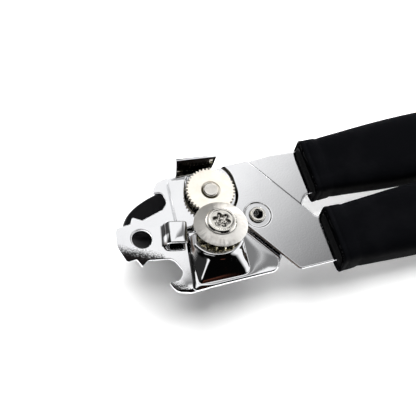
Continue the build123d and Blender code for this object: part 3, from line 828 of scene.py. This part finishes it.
def ray_reach(contour, centre, direction):
    """Distance from the centre to a closed contour along a direction."""
    best = None
    for a, b in zip(contour, contour[1:] + contour[:1]):
        along = b - a
        cross = direction.x * along.y - direction.y * along.x
        if abs(cross) < 1e-9:
            continue
        offset = a - centre
        t = (offset.x * along.y - offset.y * along.x) / cross
        u = (offset.x * direction.y - offset.y * direction.x) / cross
        if t > 0 and -1e-6 <= u <= 1 + 1e-6 and (best is None or t < best):
            best = t
    return best


def bracket_column(direction, outline, base, rim_circle):
    """The bracket's section along one direction from the stud, as radius and height pairs."""
    centre = CUTTER.xy
    outer = ray_reach(outline, centre, direction)
    foot = min(ray_reach(base, centre, direction), outer - 1.5)
    rim = min(ray_reach(rim_circle, centre, direction), foot - 0.45)
    left = ease(-direction.x, 0.35, 0.7)
    roll = max(0.5, min(0.9 + 1.9 * left, outer - foot - 0.6))

    def seat(radius, drop=0.0):
        """A point on the leaning seat or a drop below it."""
        x, y = centre + direction * radius
        slope = -(CUTTER_AXIS.x * (x - CUTTER.x) + CUTTER_AXIS.y * (y - CUTTER.y)) / CUTTER_AXIS.z
        return radius, CUTTER.z + SEAT / CUTTER_AXIS.z + slope - drop

    column = [(outer, PLATE + 0.02)]
    for step in range(7):
        t = math.radians(15 * step)
        round_in, round_up = 1 - math.cos(t), math.sin(t)
        slope_in, slope_up = step / 6, 0.16 + 0.84 * (step / 6) ** 0.8
        across = round_in + (slope_in - round_in) * left
        height = round_up + (slope_up - round_up) * left * min(1, step)
        column.append((outer - roll * across, PLATE + 0.07 + 0.93 * height))
    column += [((outer - roll + foot + 0.7) / 2, BRACKET_TOP), (foot + 0.7, BRACKET_TOP)]
    column += [(foot + 0.35, BRACKET_TOP + 0.07), (foot + 0.05, BRACKET_TOP + 0.28)]
    z_foot, z_rim = BRACKET_TOP + 0.28, seat(rim)[1] - 0.95
    for t in (0.15, 0.32, 0.5, 0.68, 0.85, 1.0):
        column.append((foot + (rim + 0.12 - foot) * t, z_foot + (z_rim - z_foot) * t))
    column += [seat(rim - 0.12, 0.58), seat(rim - 0.5, 0.27), seat(rim - 1.1, 0.08), seat(rim - 1.9)]
    column += [seat(rim - 2.4), seat(min(rim - 2.8, 7.2)), seat(STUD_HOLE), seat(STUD_HOLE, 1.2)]
    column += [seat(min(rim - 2.8, 6.6), 1.2), seat(rim - 2.0, 1.3), seat(rim - 1.2, 2.0)]
    column += [(foot - 0.9, PLATE + 0.5), (foot - 0.6, PLATE + 0.02)]
    return [Vector((*(centre + direction * radius), z)) for radius, z in column]


bm = bmesh.new()
sections = (rounded(BRACKET_OUTLINE, 0.4), rounded(TENT_BASE, 0.4), circle(*TENT_RIM, 120))
columns = [bracket_column(Vector((math.cos(a), math.sin(a))), *sections) for a in turns(240)]
skin(bm, [list(loop) for loop in zip(*columns)], around=True)
piece("formed_cutter_bracket", bm, "upper_handle", "chrome_plate", "cutter_bracket")

# ------------------------------------------------------------ pivot rivet with a rolled-over head
bm = bmesh.new()
head = LOWER_TOP - 0.40
head_middle, head_half = (RIVET_BORE + RIVET_HEAD) / 2, (RIVET_HEAD - RIVET_BORE) / 2
profile = [(RIVET_BORE, -1.4), (RIVET_BORE, head + 0.7)]
for k in range(9):
    a = math.radians(180 - 180 * k / 8)
    profile.append((head_middle + math.cos(a) * head_half, head + 0.75 + 0.45 * math.sin(a)))
profile += [(RIVET_HEAD, head + 0.25), (RIVET_HEAD - 0.2, head), (RIVET_TUBE, head), (RIVET_TUBE, -0.6)]
profile += [(4.4, -0.6), (4.4, -1.0)]
for k in range(7):
    a = math.radians(-180 * k / 6)
    profile.append((3.15 + math.cos(a) * 1.2, -1.0 + 0.4 * math.sin(a)))
profile.append((RIVET_BORE + 0.05, -1.0))
turned(bm, profile)
piece("rolled_pivot_rivet", bm, "upper_handle", "bright_steel", "pivot_rivet")

# ------------------------------------------------------------ cutter stud with a star socket
STUD_POINTS = 144
HUB_TOP = 5.91                                # top of the cutter's hub, along the stud


def star(scale, wave):
    """Radii round a six-lobed star."""
    return [scale * (1 + wave * math.cos(6 * a)) for a in turns(STUD_POINTS)]


def stud_loops(levels):
    """Loops round the stud at heights along it, each with one radius or a list of radii."""
    first = CUTTER_AXIS.cross(Vector((1, 0, 0))).normalized()
    second = CUTTER_AXIS.cross(first)
    loops = []
    for radius, height in levels:
        radii = radius if isinstance(radius, list) else [radius] * STUD_POINTS
        base = CUTTER + CUTTER_AXIS * height
        loops.append([
            base + (first * math.cos(a) + second * math.sin(a)) * r for a, r in zip(turns(STUD_POINTS), radii)
        ])
    return loops


bm = bmesh.new()
SHANK = [(2.0, -5.6), (2.0, -1.75), (3.0, -1.74), (3.0, HUB_TOP)]
# Radius and height above the hub: the head's side, its crown and the rim round the socket
HEAD = [
    (6.05, 0.0), (6.3, 0.2), (6.3, 0.62), (6.22, 0.76), (5.78, 1.3), (5.62, 1.44), (5.4, 1.52), (5.15, 1.54),
    (4.9, 1.5), (4.72, 1.38), (4.55, 1.24), (4.3, 1.2), (3.9, 1.22), (star(3.25, 0.16), 1.25),
    (star(3.1, 0.2), 1.16), (star(2.95, 0.24), 0.9), (star(2.8, 0.26), 0.2), (star(2.6, 0.22), 0.08),
    (1.7, 0.02), (0.8, 0.0),
]
levels = SHANK + [(radius, HUB_TOP + height) for radius, height in HEAD]
skin(bm, stud_loops(levels), "closed", "closed")
piece("star_socket_stud", bm, "upper_handle", "bright_steel", "cutter_stud")

# ------------------------------------------------------------ grips
GRIP_END = 150.0
GRIP_POINTS = 168
# Distance from the mouth, half width, half height, squareness, and depth of the mouth's ribs
GRIP_MOUTH = [
    (3.0, 11.2, 4.0, 7.0, 0.0), (0.5, 11.2, 4.0, 7.0, 0.0), (0.35, 11.3, 4.3, 6.6, 0.0),
    (0.30, 11.45, 5.0, 6.2, 0.6), (0.05, 11.7, 5.9, 6.2, 0.6), (0.0, 12.0, 6.7, 6.2, 0.3),
    (0.05, 12.4, 7.15, 6.2, 0.0), (0.3, 12.62, 7.4, 6.0, 0.0), (0.7, 12.7, 7.48, 5.8, 0.0),
    (1.7, 12.68, 7.46, 5.4, 0.0), (2.0, 12.56, 7.32, 5.4, 0.0), (2.3, 12.56, 7.32, 5.4, 0.0),
    (2.6, 12.68, 7.46, 5.2, 0.0), (3.4, 12.7, 7.5, 5.0, 0.0), (6.6, 12.68, 7.5, 4.6, 0.0),
    (7.2, 12.5, 7.34, 4.4, 0.0), (8.2, 12.46, 7.34, 4.2, 0.0), (9.6, 12.72, 7.46, 4.0, 0.0),
]
GRIP_SWELL = [
    (13, 12.95, 7.5), (20, 13.4, 7.5), (30, 14.05, 7.5), (40, 14.45, 7.5), (48, 14.6, 7.5), (58, 14.5, 7.5),
    (70, 14.2, 7.5), (82, 13.6, 7.5), (94, 12.9, 7.45), (103, 12.3, 7.35),
]
TAIL_START = 103


def grip(name, node, body, mouth_x, y_centre, z_centre, trim):
    """A palm-swelled soft grip with a ribbed collar and an opening for the rigid core. The trim
    narrows its inner side near the mouth."""
    stations = GRIP_MOUTH + [(x, width, height, 3.9, 0.0) for x, width, height in GRIP_SWELL]
    for k in range(1, 10):
        a = math.radians(90 * k / 9.3)
        shrink = math.cos(a)
        x = TAIL_START + (GRIP_END - mouth_x - TAIL_START) * math.sin(a)
        stations.append((x, 12.2 * shrink ** 0.9, 7.3 * shrink ** 0.55, 3.9 - 1.6 * k / 9, 0.0))
    loops = []
    for x, width, height, power, rib in stations:
        loop = []
        narrow = trim * (1 - ease(x, 0, 45))
        for index, p in enumerate(superellipse(width - narrow / 2, height, power, GRIP_POINTS)):
            back = rib if index % 6 < 3 else 0.0
            loop.append(Vector((mouth_x + x + back, y_centre + narrow / 2 + p.x, z_centre + p.y)))
        loops.append(loop)
    bm = bmesh.new()
    skin(bm, loops, "open", "closed")
    piece(name, bm, body, "soft_grip", node)


grip("upper_soft_grip", "upper_grip", "upper_handle", 27.0, 14.8, PLATE / 2, 1.1)
grip("lower_soft_grip", "lower_grip", "lower_handle", 25.6, -17.6, LOWER_TOP - PLATE / 2, 0.0)

# ------------------------------------------------------------ thumb knob
KNOB_LENGTH, KNOB_WIDTH, KNOB_TOP = 34.6, 14.2, -8.5   # half length, half width, top of the paddle
# Share of the half length that the rounding leaves, and depth below the top
KNOB_LEVELS = [
    (0.62, 0.0), (0.80, 0.0), (0.885, -0.12), (0.94, -0.55), (0.975, -1.3), (0.993, -2.4), (1.0, -4.0),
    (1.0, -6.0), (1.0, -8.2), (0.993, -9.7), (0.972, -10.8), (0.935, -11.5), (0.88, -11.9), (0.80, -12.0),
    (0.62, -12.0),
]
bm = bmesh.new()
loops = []
for scale, depth in KNOB_LEVELS:
    shrink = KNOB_LENGTH * (1 - scale) * 0.42
    loops.append([
        Vector((SHAFT.x + (KNOB_LENGTH - shrink) * math.cos(a), SHAFT.y + (KNOB_WIDTH - shrink) * math.sin(a),
                KNOB_TOP + depth))
        for a in turns(120)
    ])
skin(bm, loops, "closed", "closed")
collar = [(3.1, -2.4), (7.2, -2.4), (7.5, -2.7), (7.5, -7.4), (7.9, -8.2), (8.8, -8.7), (3.1, -8.7)]
turned(bm, collar, 72, (SHAFT.x, SHAFT.y, 0))
piece("oval_thumb_knob", bm, "crank", "knob_plastic", "crank_knob")

# ------------------------------------------------------------ carried-over nodes
for name, node in nodes.items():
    node.data.materials.clear()
    node.data.materials.append(MATERIALS[SLOTS[name]])
    weld = node.modifiers.new("weld", "WELD")
    weld.merge_threshold = 0.000002
    flat = node.modifiers.new("flat", "DECIMATE")
    flat.decimate_type = "DISSOLVE"
    flat.angle_limit = math.radians(0.5)
    bevel = node.modifiers.new("bevel", "BEVEL")
    bevel.width = 0.00014
    bevel.segments = 2
    bevel.limit_method = "ANGLE"
    bevel.angle_limit = math.radians(40)
    bevel.harden_normals = True

# ------------------------------------------------------------ floor
FLOOR_SLOPE = 0.11                            # the opener rests on its knob and its grips' far ends
FLOOR_GAP, FLOOR_HALF = 0.0004, 3.0           # metres
TOUCH_X = 0.014
floor_z = CAD_BOX[0][2] - FLOOR_GAP
corners = [(-FLOOR_HALF, -FLOOR_HALF), (FLOOR_HALF, -FLOOR_HALF), (FLOOR_HALF, FLOOR_HALF),
           (-FLOOR_HALF, FLOOR_HALF)]
floor_mesh = bpy.data.meshes.new("floor")
floor_points = [(x, y, floor_z + (x - TOUCH_X) * FLOOR_SLOPE) for x, y in corners]
floor_mesh.from_pydata(floor_points, [], [(0, 1, 2, 3)])
floor = bpy.data.objects.new("floor", floor_mesh)
bpy.context.scene.collection.objects.link(floor)
paper = Shader("floor")
# Emission painted onto the floor: painted light beyond the head that lifts the shadows between and beside the
# grips, and more further out for an evenly white backdrop
from_head = paper.vector("LENGTH", paper.vector("SUBTRACT", paper.place, (-0.03, -0.02, 0)))
painted_light_and_backdrop = paper.add(paper.span(from_head, 0.048, 0.078, 0.0, 0.27), paper.span(from_head, 0.14, 0.42, 0.0, 0.8))
paper.finish((0.9, 0.9, 0.9), 0.0, 0.8, Specular_IOR_Level=0.2, Emission_Color=(1, 1, 1, 1),
             Emission_Strength=painted_light_and_backdrop)
floor_mesh.materials.append(paper.material)


# ------------------------------------------------------------ world
class Sky(Shader):
    """The studio as the polished metal sees it, from the direction alone."""

    def __init__(self):
        world = bpy.data.worlds.new("studio")
        bpy.context.scene.world = world
        world.use_nodes = True
        self.tree = world.node_tree
        direction = self.node("ShaderNodeTexCoord").outputs["Generated"]
        self.x, self.y, self.z = self.split(direction)


BLACK, WHITE, WARM_RED = (0.0, 0.0, 0.0), (1.0, 1.0, 1.0), (0.10, 0.035, 0.022)
DARKEST = 0.0012
sky = Sky()
slant = sky.math("SUBTRACT", sky.x, sky.both(sky.y, 1.5))
overhead = sky.both(
    sky.span(slant, -0.40, -0.10, 1.2, 0.22), sky.span(sky.y, 0.58, 0.85, 1.0, 0.18),
    sky.rise(sky.y, -0.02, 0.12),
)
zenith = sky.both(sky.rise(sky.y, -0.16, -0.08), sky.fall(sky.y, 0.20, 0.26), sky.rise(sky.z, 0.80, 0.90))
right_wall = sky.rise(sky.x, 0.50, 0.72)
light = sky.both(sky.either(overhead, zenith, right_wall), sky.span(sky.x, -0.40, -0.26, 0.02, 1.0))
horizon = sky.both(sky.span(sky.z, 0.03, 0.15, 0.95, 0.0), sky.span(sky.y, 0.70, 0.92, 1.0, 0.15))
front_cards = sky.both(
    sky.span(sky.y, -0.50, -0.40, 0.55, 0.0), sky.fall(sky.z, 0.50, 0.62),
    sky.either(sky.fall(sky.x, -0.36, -0.26), sky.rise(sky.x, 0.50, 0.60)),
)
back_card = sky.both(
    sky.span(sky.y, 0.40, 0.52, 0.0, 0.5), sky.fall(sky.z, 0.60, 0.72), sky.fall(sky.x, -0.42, -0.32),
)
light = sky.either(light, horizon, front_cards, back_card, DARKEST)
warm = sky.either(sky.off(sky.x, 0.17), sky.both(sky.off(sky.y, -0.52), 1.6))
warm = sky.both(sky.fall(warm, 0.02, 0.10), sky.rise(sky.z, 0.3, 0.5))
background = sky.tree.nodes["Background"]
sky.put(background.inputs["Color"], sky.blend(light, sky.blend(warm, BLACK, WARM_RED), WHITE))
background.inputs["Strength"].default_value = 1.0


# ------------------------------------------------------------ lamps
def lamp(name, place, size, power):
    """A soft lamp aimed at the origin, which the metal doesn't mirror."""
    data = bpy.data.lights.new(name, "AREA")
    data.shape = "RECTANGLE"
    data.size, data.size_y = size
    data.energy = power
    made = bpy.data.objects.new(name, data)
    made.location = place
    made.rotation_euler = (-Vector(place)).to_track_quat("-Z", "Y").to_euler()
    made.visible_glossy = False
    bpy.context.scene.collection.objects.link(made)


lamp("key", (0.05, 0.30, 1.1), (1.2, 1.0), 25)
lamp("front_fill", (0.52, -0.30, 0.20), (0.3, 0.2), 0.9)
lamp("back_fill", (0.40, 0.46, 0.13), (0.4, 0.15), 10)
bpy.context.scene.view_settings.view_transform = "Standard"
